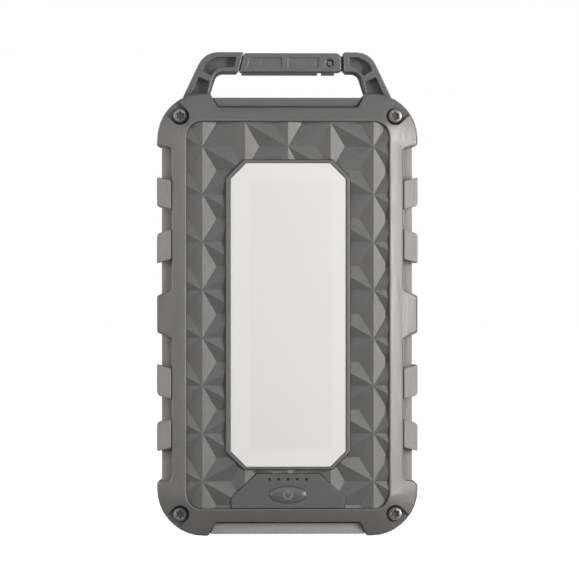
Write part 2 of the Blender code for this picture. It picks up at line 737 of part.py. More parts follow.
def facet_sheet():
    """A slab whose front is a field of triangles, each with a shallow three-sided pit."""
    shape = bmesh.new()
    made = {}

    def corner(column, row):
        if (column, row) not in made:
            z = FACET_TOP_Z + row * FACET_STEP_Z / 2
            made[column, row] = shape.verts.new((column * FACET_STEP_X, RIDGE_Y, z))
        return made[column, row]

    def facet(*places):
        points = [corner(*place) for place in places]
        pit = shape.verts.new([sum(p.co[i] for p in points) / 3 for i in range(3)])
        pit.co.y = PIT_Y
        for index in range(3):
            shape.faces.new((points[index], points[(index + 1) % 3], pit))

    for column in range(-3, 3):
        for row in range(-17, 4):
            if (column + row) % 2 == 0:
                facet((column, row), (column, row + 2), (column + 1, row + 1))
            else:
                facet((column + 1, row), (column + 1, row + 2), (column, row + 1))
    grown = bmesh.ops.extrude_face_region(shape, geom=shape.faces[:])
    for item in grown["geom"]:
        if isinstance(item, bmesh.types.BMVert):
            item.co.y = PANEL_BACK_Y
    back = [item for item in grown["geom"] if isinstance(item, bmesh.types.BMFace)]
    bmesh.ops.dissolve_faces(shape, faces=back)
    return as_object(shape)


def panel_rim():
    """The flange that holds a panel behind the opening, and the wall that meets the middle frame."""
    grow = FLANGE_GROW
    outer = rectangle(OPENING_HALF + grow, OPENING_LOW - grow, OPENING_HIGH + grow, FLANGE_R)
    grow -= PANEL_WALL
    inner = rectangle(OPENING_HALF + grow, OPENING_LOW - grow, OPENING_HIGH + grow, FLANGE_R - PANEL_WALL)
    rim = prism(outer, FLANGE_Y, SKIRT_Y)
    return cut(rim, prism(inner, PANEL_BACK_Y, SKIRT_Y + 1.0))


def panel_outline(inset):
    inset += SNUG
    return rectangle(OPENING_HALF - inset, OPENING_LOW + inset, OPENING_HIGH - inset, OPENING_R - inset, 6)


def pad_outline(grow=0.0):
    wide = PAD_HALF_WIDE + grow
    half = [(PAD_HALF_TOP + grow * 0.6, PAD_HIGH + grow, 1.2), (wide, PAD_WIDE_Z, 1.6),
            (wide - 0.2, PAD_LOW - grow, 0.3)]
    return rounded(mirrored(half), 3)


def led_places():
    return [(index - 2) * LED_PITCH for index in range(5)]


def make_front_panel(material, pad_material):
    panel = common(facet_sheet(), prism(panel_outline(0.0), RIDGE_Y - 1.0, 1.0))
    join(panel, panel_rim())
    bezel_hole = octagon(BEZEL_HALF + SNUG, BEZEL_LOW - SNUG, BEZEL_HIGH + SNUG, BEZEL_LEG)
    cut(panel, prism(bezel_hole, RIDGE_Y - 1.0, 1.0))
    cut(panel, prism(pad_outline(SNUG), RIDGE_Y - 1.0, PAD_Y[1] + FIT))
    button_hole = oval(BUTTON_HALF_X + 0.4, BUTTON_Z, BUTTON_HALF_Z + 0.4)
    cut(panel, prism(button_hole, RIDGE_Y - 1.0, 1.0))
    for x in led_places():
        cut(panel, rod(x, LED_Z, LED_HOLE_R, (RIDGE_Y - 1.0, 1.0), 12))
    named(panel, "front_panel", material)
    pad = bevelled(prism(pad_outline(), *PAD_Y), 0.25, 2)
    hole = oval(BUTTON_HALF_X + BUTTON_GAP, BUTTON_Z, BUTTON_HALF_Z + BUTTON_GAP)
    cut(pad, prism(hole, PAD_Y[0] - 1.0, 1.0))
    for x in led_places():
        cut(pad, rod(x, LED_Z, LED_HOLE_R, (PAD_Y[0] - 1.0, 1.0), 12))
    named(pad, "control_pad", pad_material)


def make_button(material, clear_plastic, housing, led_material):
    rings = [(0.0, -9.0)]
    for step in range(6):
        inset = 0.85 * BUTTON_HALF_Z * step / 5
        bulge = BUTTON_DOME * (1 - (1 - inset / BUTTON_HALF_Z) ** 2)
        rings.append((inset, PAD_Y[0] + 0.1 - bulge))
    outlines = []
    for inset, y in rings:
        outline = oval(BUTTON_HALF_X - inset, BUTTON_Z, BUTTON_HALF_Z - inset)
        outlines.append(along_y(outline, y))
    button = loft(outlines)
    flange = PANEL_BACK_Y + GAP
    join(button, prism(oval(BUTTON_HALF_X + 1.0, BUTTON_Z, BUTTON_HALF_Z + 1.0), flange, flange + 0.7))
    stem_end = -8.0
    join(button, rod(0.0, BUTTON_Z, 1.6, (flange + 0.3, stem_end), 16))
    named(button, "power_button", material, origin=(0.0, PAD_Y[0], BUTTON_Z))
    guide = box((-7.4, 7.4), (flange, -5.8), (LED_Z - 0.9, LED_Z + 0.9))
    for x in led_places():
        join(guide, rod(x, LED_Z, LED_PIN_R, (PAD_Y[0] + 0.7, flange + 0.4), 12))
    named(guide, "light_guide", clear_plastic)
    switch = box((-3.0, 3.0), (-7.0, BOARD_Y[0] - FIT), (BUTTON_Z - 3.0, BUTTON_Z + 3.0))
    plunger_top = stem_end + BUTTON_TRAVEL + 0.1
    join(switch, rod(0.0, BUTTON_Z, 1.7, (plunger_top, -6.0), 16))
    named(switch, "tactile_switch", housing)
    first = led_places()[0]
    led = box((first - 0.8, first + 0.8), (BOARD_Y[0] - 0.7, BOARD_Y[0] - FIT), (LED_Z - 0.4, LED_Z + 0.4))
    named(led, "battery_led", led_material)
    repeated(led, "battery_led", [(index * LED_PITCH, 0.0, 0.0) for index in range(1, 5)])


def make_rear(plastic, board_green, silicon, clear_sheet):
    cover = chamfered(panel_outline, 0.6 + RIM_Y, PANEL_BACK_Y, 0.3)
    join(cover, panel_rim())
    well = rectangle(32.2, 10.2, 135.3, 3.0)
    cut(cover, prism(well, RIM_Y, -10.6), rod(6.0, 31.0, 1.2, (-12.0, -8.0), 12))
    named(turned_round(cover), "rear_cover", plastic)
    board = prism(rectangle(32.0, 10.4, 135.1, 2.8), 10.7, 11.3)
    named(board, "solar_board", board_green)
    cells = None
    columns, rows = 2, 5
    width, height, lane = 29.8, 23.4, 1.0
    low = 72.75 - (rows * height + (rows - 1) * lane) / 2
    for column in range(columns):
        x = (column - 0.5) * (width + lane)
        for row in range(rows):
            z = low + row * (height + lane)
            cell = prism(rectangle(width / 2, z, z + height, 1.6, 1, x), 11.35, 11.6)
            cells = join(cells, cell) if cells else cell
        for ribbon in (-8.0, 8.0):
            join(cells, box((x + ribbon - 0.6, x + ribbon + 0.6), (11.3 + 0.05, 11.62), (low + 0.5, low + 121.0)))
    join(cells, box((-9.0, 9.0), (11.35, 11.63), (low + 1.2, low + 2.4)))
    named(cells, "solar_cells", silicon)
    window = prism(rectangle(32.0, 10.4, 135.1, 2.8), 11.7, 12.25)
    named(window, "solar_window", clear_sheet)


# Lamp ---------------------------------------------------------------------------------------------

def make_lamp(rim, diffuser_material, white, board_white, emitter_material):
    def bezel_outline(inset):
        return octagon(BEZEL_HALF - inset, BEZEL_LOW + inset, BEZEL_HIGH - inset, BEZEL_LEG - inset * 0.6)

    def diffuser_outline(inset):
        return octagon(DIFFUSER_HALF - inset, DIFFUSER_LOW + inset, DIFFUSER_HIGH - inset,
                       DIFFUSER_LEG - inset * 0.6, 0.3)

    bezel = chamfered(bezel_outline, BEZEL_Y, -8.5, 0.4)
    cut(bezel, prism(diffuser_outline(-0.12), BEZEL_Y - 1.0, DIFFUSER_Y[1] + FIT))
    cut(bezel, prism(diffuser_outline(1.3), BEZEL_Y - 1.0, 0.0))
    named(bezel, "light_bezel", rim)
    diffuser = chamfered(diffuser_outline, *DIFFUSER_Y, 0.3)
    named(diffuser, "light_diffuser", diffuser_material)
    tray = prism(bezel_outline(0.3), *REFLECTOR_Y)
    cut(tray, prism(diffuser_outline(1.3), REFLECTOR_Y[0] - 1.0, REFLECTOR_Y[1] - 0.8))
    named(tray, "light_reflector", white)
    board_front = REFLECTOR_Y[1] - 1.8
    board = prism(rectangle(16.0, 27.0, 118.4, 1.0, 2), board_front, board_front + 0.8)
    named(board, "light_board", board_white)
    columns, rows, pitch_x, pitch_z = 2, 3, 15.0, 31.0
    x = -pitch_x / 2
    z = (BEZEL_LOW + BEZEL_HIGH) / 2 - pitch_z
    emitter = box((x - 1.75, x + 1.75), (board_front - 0.8, board_front - FIT), (z - 1.4, z + 1.4))
    named(emitter, "light_emitter", emitter_material)
    places = [(column * pitch_x, 0.0, row * pitch_z) for row in range(rows) for column in range(columns)]
    repeated(emitter, "light_emitter", places[1:])


# Electronics and battery --------------------------------------------------------------------------

def make_ports(steel, tongue_plastic):
    for side, name in ((-1, "usb_a_port_left"), (1, "usb_a_port_right")):
        x = side * PORT_X
        port = box((x - 6.55, x + 6.55), (BOARD_Y[1] + FIT, 3.1), (PORT_MOUTH_Z, PORT_MOUTH_Z + 14.0))
        cut(port, box((x - 6.05, x + 6.05), (-2.8, 2.6), (PORT_MOUTH_Z - 1.0, PORT_MOUTH_Z + 10.0)))
        join(port, box((x - 5.5, x + 5.5), (-2.1, -0.3), (PORT_MOUTH_Z + 1.3, PORT_MOUTH_Z + 10.5)))
        named(port, name, steel)
    low = BOARD_Y[1] + FIT
    shell = rounded([(x, y, 1.5) for x, y in ((4.5, low), (4.5, low + 3.2), (-4.5, low + 3.2), (-4.5, low))], 4)
    mouth = rounded([(x, y, 1.2) for x, y in ((4.2, low + 0.3), (4.2, low + 2.9), (-4.2, low + 2.9),
                                              (-4.2, low + 0.3))], 4)
    port = prism_z(shell, PORT_MOUTH_Z, PORT_MOUTH_Z + 7.3)
    cut(port, prism_z(mouth, PORT_MOUTH_Z - 1.0, PORT_MOUTH_Z + 6.3))
    join(port, box((-3.3, 3.3), (low + 1.25, low + 1.95), (PORT_MOUTH_Z + 0.8, PORT_MOUTH_Z + 6.8)))
    named(port, "usb_c_port", tongue_plastic)


def make_board(board_green, ferrite, chip, can):
    board = prism(rectangle(30.0, 9.0, 38.0, 8.0, 4), *BOARD_Y)
    corner = 16.0
    trim = rounded(mirrored([(30.0, 38.0), (30.0, 9.0, corner)]), 6)
    named(common(board, prism(trim, BOARD_Y[0] - 1.0, BOARD_Y[1] + 1.0)), "main_board", board_green)
    front = BOARD_Y[1] + FIT
    coil = prism(rectangle(3.6, 26.0, 33.2, 1.0, 2, -17.0), front, front + 3.6)
    named(coil, "inductor", ferrite)
    named(box((-6.5, -0.5), (front, front + 0.9), (26.0, 32.0)), "controller_chip", chip)
    capacitor = rod(14.0, 30.0, 2.6, (front, front + 5.4), 20)
    named(capacitor, "capacitor", can)
    repeated(capacitor, "capacitor", [(7.5, 0.0, 0.0)])


def make_battery(foil, foam, red, black):
    for side, name in ((-1, "battery_cell_left"), (1, "battery_cell_right")):
        cell = prism(rectangle(15.9, CELL_LOW, CELL_HIGH, 2.0, 3, side * 16.6), *CELL_Y)
        named(bevelled(cell, 1.2, 2), name, foil)
    pad = prism(rectangle(29.0, 46.0, 125.0, 2.0, 2), CELL_Y[1] + GAP, -PANEL_BACK_Y - GAP)
    named(pad, "battery_pad", foam)
    board_back = BOARD_Y[1] + 0.8
    for x, name, colour in ((3.0, "battery_lead_red", red), (6.0, "battery_lead_black", black)):
        lead = tube(bend((x, 0.5, CELL_LOW - 0.9), (x, 0.5, 35.5), (x, board_back, 35.5)), 0.6)
        named(lead, name, colour)
    lead = tube(bend((6.0, 10.5, 31.0), (6.0, 3.0, 31.0), (6.0, board_back, 29.0)), 0.6)
    named(lead, "solar_lead", red)


def make_port_cover(material):
    axis_y, axis_z = COVER_AXIS
    profile = [(COVER_Y, COVER_LOW + 0.4), (COVER_Y + 0.4, COVER_LOW), (axis_y, COVER_LOW)]
    for step in range(1, 9):
        angle = -math.pi / 2 + math.pi * step / 9
        profile.append((axis_y + COVER_R * math.cos(angle), axis_z + COVER_R * math.sin(angle)))
    profile += [(axis_y, COVER_HIGH), (COVER_Y, COVER_HIGH)]
    cover = prism_x(profile, -COVER_HALF, COVER_HALF)
    block = [(notch_half(BOTTOM_NOTCH, 0.0, COVER_HIGH), COVER_HIGH, 1.0),
             (notch_half(BOTTOM_NOTCH, 0.0, COVER_LOW), COVER_LOW, 0.4)]
    join(cover, bevelled(prism(rounded(mirrored(block), 4), COVER_FRONT_Y, COVER_Y + 0.8), 0.3, 2))
    lip_top = COVER_HIGH + 1.5
    for side in (-1, 1):
        x = side * PORT_X
        join(cover, box((x - 6.4, x + 6.4), (-3.2, 3.0), (COVER_HIGH - 0.5, lip_top)))
        cut(cover, box((x - 5.7, x + 5.7), (-2.5, 2.3), (COVER_HIGH, lip_top + 1.0)))
    join(cover, box((-4.1, 4.1), (-2.9, -0.5), (COVER_HIGH - 0.5, lip_top)))
    named(cover, "port_cover", material, origin=(0.0, axis_y, axis_z))


def make_seals(material):
    named(seal_ring(0.0, (-MID_Y - 0.2, -MID_Y + 0.85)), "front_seal", material)
    named(seal_ring(0.0, (MID_Y - 0.85, MID_Y + 0.2)), "rear_seal", material)


# Build --------------------------------------------------------------------------------------------

dark_plastic = paint("dark_plastic", (0.13, 0.13, 0.13), 0.55)
panel_plastic = paint("panel_plastic", (0.12, 0.12, 0.12), 0.5)
grip_plastic = paint("grip_plastic", (0.27, 0.265, 0.255), 0.6)
pad_plastic = paint("pad_plastic", (0.12, 0.12, 0.125), 0.5)
button_plastic = paint("button_plastic", (0.13, 0.13, 0.135), 0.45)
cover_rubber = paint("cover_rubber", (0.27, 0.265, 0.26), 0.7)
seal_rubber = paint("seal_rubber", (0.03, 0.03, 0.03), 0.8)
screw_steel = paint("screw_steel", (0.45, 0.45, 0.44), 0.3, 1.0)
pin_steel = paint("pin_steel", (0.5, 0.5, 0.5), 0.3, 1.0)
spring_steel = paint("spring_steel", (0.5, 0.5, 0.48), 0.3, 1.0)
port_steel = paint("port_steel", (0.6, 0.6, 0.6), 0.25, 1.0)
insert_brass = paint("insert_brass", (0.7, 0.5, 0.2), 0.35, 1.0)
lamp_rim = paint("lamp_rim", (0.14, 0.14, 0.14), 0.5)
lamp_diffuser = paint("lamp_diffuser", (0.8, 0.79, 0.78), 0.4)
reflector_white = paint("reflector_white", (0.85, 0.85, 0.84), 0.5)
board_white = paint("board_white", (0.75, 0.75, 0.73), 0.5)
board_green = paint("board_green", (0.03, 0.14, 0.06), 0.4)
emitter_yellow = paint("emitter_yellow", (0.8, 0.7, 0.2), 0.4)
charge_light = paint("charge_light", (0.2, 0.6, 0.9), 0.4)
clear_plastic = paint("clear_plastic", (0.8, 0.82, 0.83), 0.15)
clear_sheet = paint("clear_sheet", (0.6, 0.65, 0.7), 0.1, 0.0, 0.35)
silicon = paint("silicon", (0.015, 0.02, 0.05), 0.3)
ferrite = paint("ferrite", (0.06, 0.06, 0.06), 0.7)
chip_black = paint("chip_black", (0.02, 0.02, 0.02), 0.5)
can_aluminium = paint("can_aluminium", (0.7, 0.7, 0.7), 0.35, 1.0)
cell_foil = paint("cell_foil", (0.6, 0.6, 0.62), 0.4, 1.0)
pad_foam = paint("pad_foam", (0.05, 0.05, 0.05), 0.9)
lead_red = paint("lead_red", (0.6, 0.03, 0.02), 0.5)
lead_black = paint("lead_black", (0.02, 0.02, 0.02), 0.5)

make_frames(dark_plastic)
make_screws(screw_steel, insert_brass)
make_mid_frame(dark_plastic)
make_gate(dark_plastic, pin_steel, spring_steel)
make_side_grips(grip_plastic)
make_front_panel(panel_plastic, pad_plastic)
make_button(button_plastic, clear_plastic, chip_black, charge_light)
make_rear(dark_plastic, board_green, silicon, clear_sheet)
make_lamp(lamp_rim, lamp_diffuser, reflector_white, board_white, emitter_yellow)
make_ports(port_steel, port_steel)
make_board(board_green, ferrite, chip_black, can_aluminium)
make_battery(cell_foil, pad_foam, lead_red, lead_black)
make_port_cover(cover_rubber)
make_seals(seal_rubber)
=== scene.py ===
"""The looks of a rugged solar power bank: its finishes, its power mark, the studio and the camera.

Everything is in the model's own frame, in metres: +X is to the right, -Y is the lamp side and +Z is up.
Finishes work in millimetres on that frame, so their grain keeps its real size on every piece.
"""

import math

import bmesh
import bpy
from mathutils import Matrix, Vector
from mathutils.bvhtree import BVHTree


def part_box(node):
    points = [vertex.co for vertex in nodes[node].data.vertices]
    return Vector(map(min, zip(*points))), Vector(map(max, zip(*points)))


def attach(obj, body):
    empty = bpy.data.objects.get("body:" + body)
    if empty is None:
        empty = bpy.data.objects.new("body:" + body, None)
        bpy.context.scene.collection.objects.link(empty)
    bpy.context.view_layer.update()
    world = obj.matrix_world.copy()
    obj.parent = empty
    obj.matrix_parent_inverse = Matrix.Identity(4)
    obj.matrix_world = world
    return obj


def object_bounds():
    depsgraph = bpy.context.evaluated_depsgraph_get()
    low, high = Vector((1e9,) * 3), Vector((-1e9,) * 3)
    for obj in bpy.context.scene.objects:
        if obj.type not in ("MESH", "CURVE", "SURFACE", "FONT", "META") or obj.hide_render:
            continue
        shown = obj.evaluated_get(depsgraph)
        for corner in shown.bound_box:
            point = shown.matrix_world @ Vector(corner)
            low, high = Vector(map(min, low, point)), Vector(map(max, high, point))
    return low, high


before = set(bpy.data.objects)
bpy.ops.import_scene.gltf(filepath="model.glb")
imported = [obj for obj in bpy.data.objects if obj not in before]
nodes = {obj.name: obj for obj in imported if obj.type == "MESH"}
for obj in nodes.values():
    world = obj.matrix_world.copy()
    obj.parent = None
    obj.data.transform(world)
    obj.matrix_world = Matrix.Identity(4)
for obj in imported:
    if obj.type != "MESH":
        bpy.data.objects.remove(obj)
cad_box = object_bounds()

MM = 0.001
SMOOTH_ANGLE = math.radians(32)
FACET_ANGLE = math.radians(8)  # for the panel, whose facets meet at shallow angles
MERGE_DISTANCE = 0.002 * MM
FLATS_WEIGHT = 100              # how far a large flat face outweighs its rounded neighbours
SCREW_SOCKET_SHADE_DEPTH = 0.3         # millimetres from a screw's face to where the painted shade in its socket starts, and again to full darkness
MIX_COLOURS = (6, 7)            # the colour sockets of a mix node, which share their names with others
MIX_RESULT = 2


# Node helpers -------------------------------------------------------------------------------------

class Finish:
    """A material, with short calls for the nodes that make it."""

    def __init__(self, name, colour=None, roughness=0.5, metallic=0.0):
        self.material = bpy.data.materials.new(name)
        self.material.use_nodes = True
        self.tree = self.material.node_tree
        self.shader = self.tree.nodes["Principled BSDF"]
        self.set(roughness=roughness, metallic=metallic)
        if colour:
            self.shader.inputs["Base Color"].default_value = (*colour, 1.0)
            self.material.diffuse_color = (*colour, 1.0)

    def set(self, **values):
        """Sets the shader's sockets by name, with a number, a colour or another node's output."""
        for name, value in values.items():
            self.put(self.shader.inputs[name.replace("_", " ").title()], value)

    def put(self, socket, value):
        if isinstance(value, bpy.types.NodeSocket):
            self.tree.links.new(value, socket)
        elif value is not None:
            socket.default_value = value

    def node(self, kind, *inputs, **settings):
        made = self.tree.nodes.new(kind)
        for name, value in settings.items():
            setattr(made, name, value)
        for socket, value in zip(made.inputs, inputs):
            self.put(socket, value)
        return made

    def math(self, operation, *values):
        return self.node("ShaderNodeMath", *values, operation=operation).outputs[0]

    def vector(self, operation, *values):
        made = self.node("ShaderNodeVectorMath", operation=operation)
        for socket, value in zip(made.inputs, values):
            self.put(socket, value)
        return made

    def place(self):
        """Where a point of the surface is, in millimetres."""
        raw = self.tree.nodes.new("ShaderNodeTexCoord").outputs["Object"]
        scaled = self.node("ShaderNodeVectorMath", raw, operation="SCALE")
        scaled.inputs["Scale"].default_value = 1 / MM
        return scaled.outputs[0]

    def axes(self, place):
        return self.node("ShaderNodeSeparateXYZ", place).outputs

    def stretched(self, place, *factors):
        return self.node("ShaderNodeVectorMath", place, factors, operation="MULTIPLY").outputs[0]

    def noise(self, place, size, detail=2.0, roughness=0.5):
        """Noise from 0 to 1 whose lumps are about size millimetres across."""
        made = self.node("ShaderNodeTexNoise")
        self.put(made.inputs["Vector"], place)
        made.inputs["Scale"].default_value = 1 / size
        made.inputs["Detail"].default_value = detail
        made.inputs["Roughness"].default_value = roughness
        return made.outputs["Fac"]

    def ranged(self, value, low, high, to_low, to_high, smooth=False):
        made = self.node("ShaderNodeMapRange", value, low, high, to_low, to_high)
        made.interpolation_type = "SMOOTHSTEP" if smooth else "LINEAR"
        return made.outputs[0]

    def blend(self, factor, first, second):
        """A colour between two colours."""
        made = self.node("ShaderNodeMix", data_type="RGBA")
        self.put(made.inputs["Factor"], factor)
        for index, colour in zip(MIX_COLOURS, (first, second)):
            self.put(made.inputs[index], colour)
        return made.outputs[MIX_RESULT]

    def rounded_edges(self, radius):
        """The surface's normal with its edges rounded, and a mask that is 1 at those edges."""
        bevel = self.node("ShaderNodeBevel", samples=4)
        bevel.inputs["Radius"].default_value = radius * MM
        plain = self.tree.nodes.new("ShaderNodeNewGeometry").outputs["Normal"]
        match = self.vector("DOT_PRODUCT", bevel.outputs[0], plain).outputs["Value"]
        return bevel.outputs[0], self.ranged(match, 0.995, 0.9, 0.0, 1.0)

    def bump(self, height, depth, normal=None):
        """A normal bent by height, which is depth millimetres deep from 0 to 1."""
        made = self.node("ShaderNodeBump")
        made.inputs["Strength"].default_value = 1.0
        made.inputs["Distance"].default_value = depth * MM
        self.put(made.inputs["Height"], height)
        self.put(made.inputs["Normal"], normal)
        return made.outputs[0]


def grey(value, warmth=0.0):
    """A linear grey, a little warm or cool."""
    return (value * (1 + warmth), value, value * (1 - warmth))


def shade(colour, factor):
    """A colour made lighter or darker, ready for a socket."""
    return (*[min(1.0, channel * factor) for channel in colour], 1.0)


# Finishes -----------------------------------------------------------------------------------------

def moulded(name, colour, roughness=0.42, grain=0.012, grain_size=0.32, edge=0.3, edge_wear_and_highlight_level=1.25, specular=0.6,
            streaked=0.2):
    """Textured moulded plastic: fine grain, faint clouds, streaks along Z, and edges lighter from wear and a
    painted highlight.
    """
    finish = Finish(name, colour, roughness)
    place = finish.place()
    clouds = finish.noise(place, 16.0, 3.0)
    mottle = finish.noise(place, 1.3, 3.0, 0.6)
    fine = finish.noise(place, grain_size, 2.0, 0.6)
    normal, edges = finish.rounded_edges(edge)
    body = finish.blend(finish.ranged(clouds, 0.3, 0.7, 0.0, 1.0), shade(colour, 0.93), shade(colour, 1.07))
    body = finish.blend(finish.ranged(mottle, 0.35, 0.7, 0.0, 0.35), body, shade(colour, 0.86))
    body = finish.blend(finish.ranged(fine, 0.4, 0.7, 0.0, 0.5), body, shade(colour, 1.3))
    streaks = finish.noise(finish.stretched(place, 1.0, 1.0, 0.05), 0.5, 2.0, 0.6)
    body = finish.blend(finish.ranged(streaks, 0.4, 0.65, 0.0, streaked), body, shade(colour, 0.8))
    # Lighter, glossier edges: partly rubbed wear, partly a painted highlight along every edge.
    edge_wear_and_highlight = finish.math("MULTIPLY", edges, finish.ranged(mottle, 0.3, 0.6, 0.3, 1.0))
    body = finish.blend(finish.math("MULTIPLY", edge_wear_and_highlight, 0.6), body, shade(colour, edge_wear_and_highlight_level))
    spread = 0.12 * streaked
    gloss = finish.math("ADD", finish.ranged(streaks, 0.35, 0.65, roughness - spread, roughness + spread),
                        finish.math("MULTIPLY", edge_wear_and_highlight, -0.08))
    finish.set(base_color=body, roughness=gloss, normal=finish.bump(fine, grain, normal))
    finish.shader.inputs["Specular IOR Level"].default_value = specular
    return finish


def soft_rubber(name, colour, roughness=0.62):
    """Matt rubber, whose edges are only a little lighter, from wear and a painted highlight."""
    return moulded(name, colour, roughness, grain=0.016, grain_size=0.4, edge=0.35, edge_wear_and_highlight_level=1.1, specular=0.45)


def drawn_metal(name, colour, roughness, grain=0.006, stretch=(1.0, 1.0, 1.0), recess=None):
    """Plain metal with fine scratches and slightly dull patches. From recess, a Y, inwards it darkens with
    painted shade.
    """
    finish = Finish(name, colour, roughness, 1.0)
    place = finish.stretched(finish.place(), *stretch)
    fine = finish.noise(place, 0.18, 3.0, 0.6)
    patches = finish.noise(place, 1.6, 2.0)
    normal, edges = finish.rounded_edges(0.12)
    body = finish.blend(finish.ranged(patches, 0.3, 0.7, 0.0, 0.5), shade(colour, 1.0), shade(colour, 0.78))
    body = finish.blend(finish.math("MULTIPLY", edges, 0.5), body, shade(colour, 1.25))
    if recess is not None:
        # Painted shade down in the screw's socket, darkest towards its floor.
        depth = finish.axes(finish.place())[1]
        painted_socket_shade = finish.ranged(depth, recess, recess + SCREW_SOCKET_SHADE_DEPTH, 0.0, 0.7)
        body = finish.blend(painted_socket_shade, body, shade(colour, 0.3))
    gloss = finish.ranged(patches, 0.3, 0.7, roughness - 0.05, roughness + 0.1)
    finish.set(base_color=body, roughness=gloss, normal=finish.bump(fine, grain, normal))
    return finish


def circuit_board(name, colour, trace_colour):
    """Solder mask over copper tracks that show as a slightly lighter grid of lines."""
    finish = Finish(name, colour, 0.35)
    x, _, z = finish.axes(finish.place())
    lines = None
    for axis, pitch in ((x, 2.3), (z, 1.7)):
        wave = finish.math("PINGPONG", axis, pitch / 2)
        line = finish.ranged(wave, 0.12, 0.2, 1.0, 0.0, True)
        lines = finish.math("MAXIMUM", lines, line) if lines else line
    patchy = finish.noise(finish.place(), 6.0, 1.0)
    lines = finish.math("MULTIPLY", lines, finish.ranged(patchy, 0.48, 0.52, 0.0, 1.0, True))
    finish.set(base_color=finish.blend(lines, (*colour, 1.0), (*trace_colour, 1.0)),
               normal=finish.bump(lines, 0.02))
    return finish


def lamp_cover():
    """Milky plastic, with a slightly greyer area painted on as the board's shade showing through from behind.
    """
    colour = (0.675, 0.675, 0.675)
    finish = Finish("lamp diffuser finish", colour, 0.38)
    place = finish.place()
    x, _, z = finish.axes(place)
    low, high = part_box("light_board")
    away = []  # millimetres outside the painted shade, which covers the board's box shifted and inset
    for axis, index, shift, inset in ((x, 0, 1.0, 2.4), (z, 2, 0.0, 1.4)):
        middle = (low[index] + high[index]) / 2 / MM + shift
        half = (high[index] - low[index]) / 2 / MM - inset
        offset = finish.math("ABSOLUTE", finish.math("SUBTRACT", axis, middle))
        away.append(finish.math("SUBTRACT", offset, half))
    # Painted shade where the board behind would darken the milky cover.
    painted_board_shade = finish.ranged(finish.math("MAXIMUM", *away), -0.8, 0.8, 1.0, 0.0, True)
    clouds = finish.noise(place, 22.0, 2.0)
    fine = finish.noise(place, 0.25, 2.0)
    normal, edges = finish.rounded_edges(0.25)
    body = finish.blend(finish.math("MULTIPLY", painted_board_shade, 0.75), (*colour, 1.0), (0.63, 0.635, 0.645, 1.0))
    body = finish.blend(finish.ranged(clouds, 0.3, 0.7, 0.0, 0.25), body, (0.65, 0.65, 0.65, 1.0))
    # A painted highlight along the cover's edges.
    body = finish.blend(finish.math("MULTIPLY", edges, 0.3), body, (0.75, 0.75, 0.75, 1.0))
    finish.set(base_color=body, roughness=finish.ranged(fine, 0.3, 0.7, 0.34, 0.42),
               normal=finish.bump(fine, 0.003, normal))
    return finish


def solar_silicon():
    """Dark blue cells with fine silver fingers across them and crystal shades."""
    colour = (0.012, 0.018, 0.05)
    finish = Finish("silicon finish", colour, 0.28)
    place = finish.place()
    _, _, z = finish.axes(place)
    finger = finish.ranged(finish.math("PINGPONG", z, 0.9), 0.04, 0.09, 1.0, 0.0, True)
    crystals = finish.node("ShaderNodeTexVoronoi")
    finish.put(crystals.inputs["Vector"], place)
    crystals.inputs["Scale"].default_value = 1 / 4.0
    shade_of = finish.node("ShaderNodeSeparateColor", crystals.outputs["Color"]).outputs[0]
    body = finish.blend(shade_of, (0.009, 0.012, 0.035, 1.0), (0.018, 0.03, 0.085, 1.0))
    body = finish.blend(finish.math("MULTIPLY", finger, 0.7), body, (0.35, 0.36, 0.38, 1.0))
    finish.set(base_color=body, roughness=finish.ranged(shade_of, 0.0, 1.0, 0.24, 0.34),
               normal=finish.bump(finger, 0.02))
    return finish


def clear_window():
    """The clear sheet over the cells, with a fine pebble that dulls its shine."""
    finish = Finish("clear sheet finish", (0.5, 0.55, 0.6), 0.22)
    place = finish.place()
    pebble = finish.noise(place, 0.5, 2.0)
    finish.set(roughness=finish.ranged(pebble, 0.3, 0.7, 0.18, 0.26), normal=finish.bump(pebble, 0.004))
    finish.shader.inputs["Alpha"].default_value = 0.16
    return finish


def foil_wrap():
    """Crinkled foil round a battery cell."""
    colour = (0.55, 0.55, 0.57)
    finish = Finish("cell foil finish", colour, 0.35, 1.0)
    place = finish.place()
    crinkle = finish.noise(finish.stretched(place, 1.0, 1.0, 0.4), 3.0, 4.0, 0.6)
    fine = finish.noise(place, 0.5, 2.0)
    # The crinkles are painted darker in their hollows and lighter on their ridges, as painted shade and
    # light.
    finish.set(base_color=finish.blend(crinkle, shade(colour, 0.85), shade(colour, 1.1)),
               roughness=finish.ranged(fine, 0.3, 0.7, 0.3, 0.45), normal=finish.bump(crinkle, 0.15))
    return finish


def plain_part(name, colour, roughness, size=0.6, depth=0.01, metallic=0.0):
    """A small inner part's own finish: two shades, uneven gloss and a light surface texture."""
    finish = Finish(name, colour, roughness, metallic)
    fine = finish.noise(finish.place(), size, 3.0, 0.6)
    finish.set(base_color=finish.blend(fine, shade(colour, 0.85), shade(colour, 1.12)),
               roughness=finish.ranged(fine, 0.3, 0.7, roughness - 0.05, roughness + 0.08),
               normal=finish.bump(fine, depth))
    return finish


